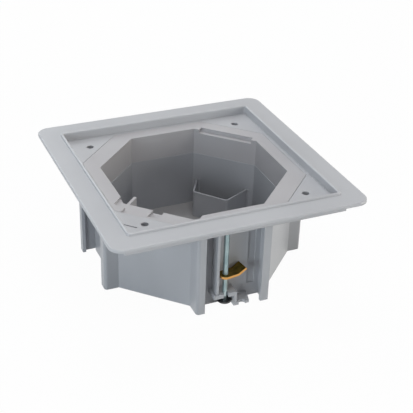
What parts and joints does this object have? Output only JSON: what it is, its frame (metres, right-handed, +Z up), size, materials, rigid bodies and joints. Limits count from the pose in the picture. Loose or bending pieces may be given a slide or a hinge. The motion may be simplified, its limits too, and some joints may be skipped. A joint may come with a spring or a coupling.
{
  "type": "floor socket box",
  "caption": "Square floor socket box: trim frame with a lid recess, octagonal well, deep finned tub, cable guard, and screw-driven claws that clamp it in a raised floor.",
  "frame": {"origin": "middle of the underside of the box", "axes": "+Z up, out of the floor; the front channel, with the first claw screw, faces -Y; +X to the right seen from there"},
  "size_m": [0.2, 0.2, 0.082],
  "materials": {
    "frame_plastic": "light grey, fine satin",
    "ring_plastic": "light grey, fine satin",
    "tub_plastic": "mid grey, satin",
    "floor_plastic": "mid grey, matt",
    "guard_plastic": "mid grey, satin",
    "zinc_steel": "bright zinc plate, slightly blue",
    "black_plastic": "black",
    "gold_passivated_steel": "yellow passivated zinc"
  },
  "bodies": {
    "box": {"trim_frame": "frame_plastic", "support_ring": "ring_plastic", "box_body": "tub_plastic", "base_plate": "floor_plastic", "cable_guard": "guard_plastic"},
    "front_screw": {"claw_screw_front": "zinc_steel", "retaining_washer_front": "black_plastic"},
    "front_claw": {"clamp_claw_front": "gold_passivated_steel"},
    "back_screw": {"claw_screw_back": "zinc_steel", "retaining_washer_back": "black_plastic"},
    "back_claw": {"clamp_claw_back": "gold_passivated_steel"}
  },
  "joints": [
    {"name": "front_screw_turn", "type": "hinge", "parent": "box", "child": "front_screw", "pos_m": [-0.0075, -0.081, 0.0141], "axis": [0, 0, 1], "range_deg": [-105, 0]},
    {"name": "front_claw_climb", "type": "slide", "parent": "front_screw", "child": "front_claw", "axis": [0, 0, 1], "range_m": [-0.0135, 0.0335]},
    {"name": "back_screw_turn", "type": "hinge", "parent": "box", "child": "back_screw", "pos_m": [0.0075, 0.081, 0.0141], "axis": [0, 0, 1], "range_deg": [-105, 0]},
    {"name": "back_claw_climb", "type": "slide", "parent": "back_screw", "child": "back_claw", "axis": [0, 0, 1], "range_m": [-0.0135, 0.0335]}
  ]
}
